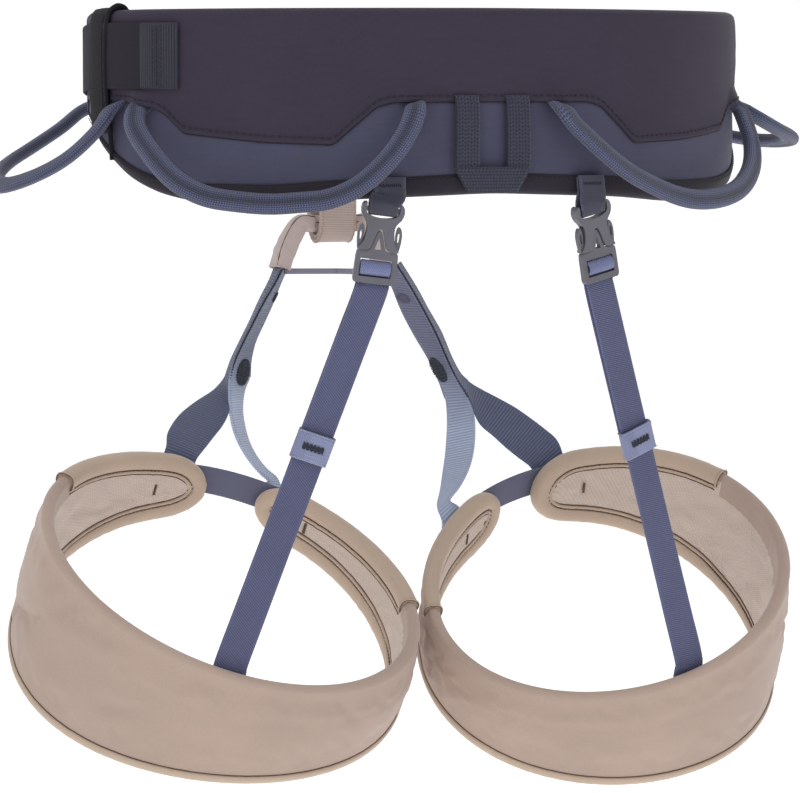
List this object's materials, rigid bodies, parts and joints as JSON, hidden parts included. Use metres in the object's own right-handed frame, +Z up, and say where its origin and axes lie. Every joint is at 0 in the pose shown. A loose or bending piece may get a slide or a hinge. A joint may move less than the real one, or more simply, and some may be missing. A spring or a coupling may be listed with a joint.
{
  "type": "climbing harness",
  "caption": "Sit harness with a padded waist belt, padded leg loops, webbing tie-in points, belay loop, elastic rear risers with quick-release buckles and gear loops.",
  "frame": {"origin": "centre of the waist opening, half way up the belt at the back", "axes": "+Z up, +Y to the wearer's back, +X to the wearer's left; the tie-in points face -Y"},
  "size_m": [0.4057, 0.2466, 0.3667],
  "materials": {
    "belt_fabric": "dark aubergine woven nylon shell, matt",
    "belt_accent": "blue-grey woven nylon panel",
    "belt_edge": "near-black stretch binding",
    "mesh_lining": "open spacer mesh",
    "foam": "closed-cell foam, hidden",
    "waist_webbing": "charcoal flat webbing",
    "keeper_elastic": "black elastic",
    "alloy": "satin anodised aluminium",
    "tie_in_sleeve": "beige protective sleeve",
    "belay_webbing": "pinkish beige webbing, sewn",
    "gear_braid": "blue-grey braided sheath over tube",
    "haul_webbing": "dark blue-grey webbing",
    "buckle_plastic": "grey moulded acetal",
    "riser_elastic": "blue-grey elastic webbing",
    "riser_trim": "light blue webbing",
    "leg_fabric": "sand woven nylon shell",
    "leg_lining": "pale pinkish mesh lining",
    "leg_binding": "rolled sand binding",
    "dark_webbing": "ribbed dark blue webbing",
    "light_webbing": "ribbed light blue webbing",
    "leg_elastic": "plain blue elastic"
  },
  "bodies": {
    "waist": {"belt_foam": "foam", "belt_lining": "mesh_lining", "belt_load_webbing": "waist_webbing", "belt_upper_panel": "belt_fabric", "belt_lower_panel": "belt_accent", "belt_bottom_band": "belt_edge", "waist_strap": "waist_webbing", "tail_keeper": "keeper_elastic", "waist_buckle_frame": "alloy", "buckle_anchor_webbing": "waist_webbing", "upper_tie_in_loop": "tie_in_sleeve", "lower_tie_in_bar": "tie_in_sleeve"},
    "tail": {"waist_tail_end": "waist_webbing"},
    "buckle_slider": {"waist_buckle_slider": "alloy"},
    "belay": {"belay_loop": "belay_webbing"},
    "haul": {"haul_loop": "haul_webbing"},
    "gear_rear_left": {"gear_loop_rear_left": "gear_braid"},
    "gear_rear_right": {"gear_loop_rear_right": "gear_braid"},
    "gear_front_left": {"gear_loop_front_left": "gear_braid"},
    "gear_front_right": {"gear_loop_front_right": "gear_braid"},
    "left_leg": {"leg_foam_left": "foam", "leg_shell_left": "leg_fabric", "leg_lining_left": "leg_lining", "leg_binding_left": "leg_binding", "leg_bridge_left": "leg_elastic", "leg_webbing_upper_left": "dark_webbing", "leg_webbing_outer_left": "dark_webbing", "leg_webbing_inner_left": "light_webbing", "tie_in_sleeve_left": "tie_in_sleeve", "spacer_elastic_left": "leg_elastic", "riser_buckle_female_left": "buckle_plastic", "riser_tab_left": "haul_webbing", "riser_strap_left": "riser_elastic"},
    "left_buckle_male": {"riser_buckle_male_left": "buckle_plastic"},
    "left_buckle_arm_inner": {"riser_buckle_arm_inner_left": "buckle_plastic"},
    "left_buckle_arm_outer": {"riser_buckle_arm_outer_left": "buckle_plastic"},
    "left_riser_keeper": {"riser_keeper_left": "riser_trim"},
    "right_leg": {"leg_foam_right": "foam", "leg_shell_right": "leg_fabric", "leg_lining_right": "leg_lining", "leg_binding_right": "leg_binding", "leg_bridge_right": "leg_elastic", "leg_webbing_upper_right": "dark_webbing", "leg_webbing_outer_right": "dark_webbing", "leg_webbing_inner_right": "light_webbing", "tie_in_sleeve_right": "tie_in_sleeve", "spacer_elastic_right": "leg_elastic", "riser_buckle_female_right": "buckle_plastic", "riser_tab_right": "haul_webbing", "riser_strap_right": "riser_elastic"},
    "right_buckle_male": {"riser_buckle_male_right": "buckle_plastic"},
    "right_buckle_arm_inner": {"riser_buckle_arm_inner_right": "buckle_plastic"},
    "right_buckle_arm_outer": {"riser_buckle_arm_outer_right": "buckle_plastic"},
    "right_riser_keeper": {"riser_keeper_right": "riser_trim"}
  },
  "joints": [
    {"name": "waist_tail_lift", "type": "hinge", "parent": "waist", "child": "tail", "pos_m": [0.15637, 0.02142, 0.021], "axis": [0, 0, -1], "range_deg": [0, 60]},
    {"name": "waist_buckle_slide", "type": "slide", "parent": "waist", "child": "buckle_slider", "axis": [0.9604, 0.2787, 0], "range_m": [0, 0.0025]},
    {"name": "belay_loop_swivel", "type": "hinge", "parent": "waist", "child": "belay", "pos_m": [0, -0.12, 0], "axis": [0, 0, 1], "range_deg": [-12, 12]},
    {"name": "haul_loop_lift", "type": "hinge", "parent": "waist", "child": "haul", "pos_m": [0.002, 0.1054, 0.0004], "axis": [1, 0, 0], "range_deg": [0, 100]},
    {"name": "gear_loop_rear_left_lift", "type": "hinge", "parent": "waist", "child": "gear_rear_left", "pos_m": [0.0948, 0.0749, -0.004], "axis": [0.8515, -0.5244, 0], "range_deg": [0, 50]},
    {"name": "gear_loop_rear_right_lift", "type": "hinge", "parent": "waist", "child": "gear_rear_right", "pos_m": [-0.08975, 0.0758, -0.004], "axis": [0.8714, 0.4907, 0], "range_deg": [0, 50]},
    {"name": "gear_loop_front_left_lift", "type": "hinge", "parent": "waist", "child": "gear_front_left", "pos_m": [0.1533, -0.012, -0.00425], "axis": [-0.1096, -0.994, -0.0064], "range_deg": [0, 40]},
    {"name": "gear_loop_front_right_lift", "type": "hinge", "parent": "waist", "child": "gear_front_right", "pos_m": [-0.1533, -0.01225, -0.00425], "axis": [-0.1089, 0.994, 0.0063], "range_deg": [0, 40]},
    {"name": "left_leg_splay", "type": "hinge", "parent": "waist", "child": "left_leg", "pos_m": [0.04924, 0.09992, -0.035], "axis": [-0.1483, -0.9813, -0.1227], "range_deg": [0, 30]},
    {"name": "left_buckle_release", "type": "slide", "parent": "left_leg", "child": "left_buckle_male", "axis": [0.1013, -0.1203, -0.9876], "range_m": [0, 0.025], "deforming": ["riser_strap_left"]},
    {"name": "left_buckle_arm_inner_squeeze", "type": "hinge", "parent": "left_buckle_male", "child": "left_buckle_arm_inner", "pos_m": [0.06306, 0.09796, -0.06434], "axis": [-0.218, -0.9712, 0.096], "range_deg": [0, 7], "stiffness_Nm_per_rad": 0.03},
    {"name": "left_buckle_arm_outer_squeeze", "type": "hinge", "parent": "left_buckle_male", "child": "left_buckle_arm_outer", "pos_m": [0.04695, 0.10138, -0.06641], "axis": [0.218, 0.9712, -0.096], "range_deg": [0, 7], "stiffness_Nm_per_rad": 0.03},
    {"name": "left_keeper_slide", "type": "slide", "parent": "left_leg", "child": "left_riser_keeper", "axis": [0.2962, -0.2101, -0.9317], "range_m": [-0.03, 0.03]},
    {"name": "right_leg_splay", "type": "hinge", "parent": "waist", "child": "right_leg", "pos_m": [-0.04924, 0.09992, -0.035], "axis": [-0.1483, 0.9813, 0.1227], "range_deg": [0, 30]},
    {"name": "right_buckle_release", "type": "slide", "parent": "right_leg", "child": "right_buckle_male", "axis": [-0.2053, -0.1202, -0.9713], "range_m": [0, 0.025], "deforming": ["riser_strap_right"]},
    {"name": "right_buckle_arm_inner_squeeze", "type": "hinge", "parent": "right_buckle_male", "child": "right_buckle_arm_inner", "pos_m": [-0.0427, 0.10135, -0.06805], "axis": [0.2232, -0.972, 0.0731], "range_deg": [0, 7], "stiffness_Nm_per_rad": 0.03},
    {"name": "right_buckle_arm_outer_squeeze", "type": "hinge", "parent": "right_buckle_male", "child": "right_buckle_arm_outer", "pos_m": [-0.05852, 0.098, -0.0643], "axis": [-0.2232, 0.972, -0.0731], "range_deg": [0, 7], "stiffness_Nm_per_rad": 0.03},
    {"name": "right_keeper_slide", "type": "slide", "parent": "right_leg", "child": "right_riser_keeper", "axis": [-0.3241, -0.2151, -0.9212], "range_m": [-0.03, 0.03]}
  ]
}
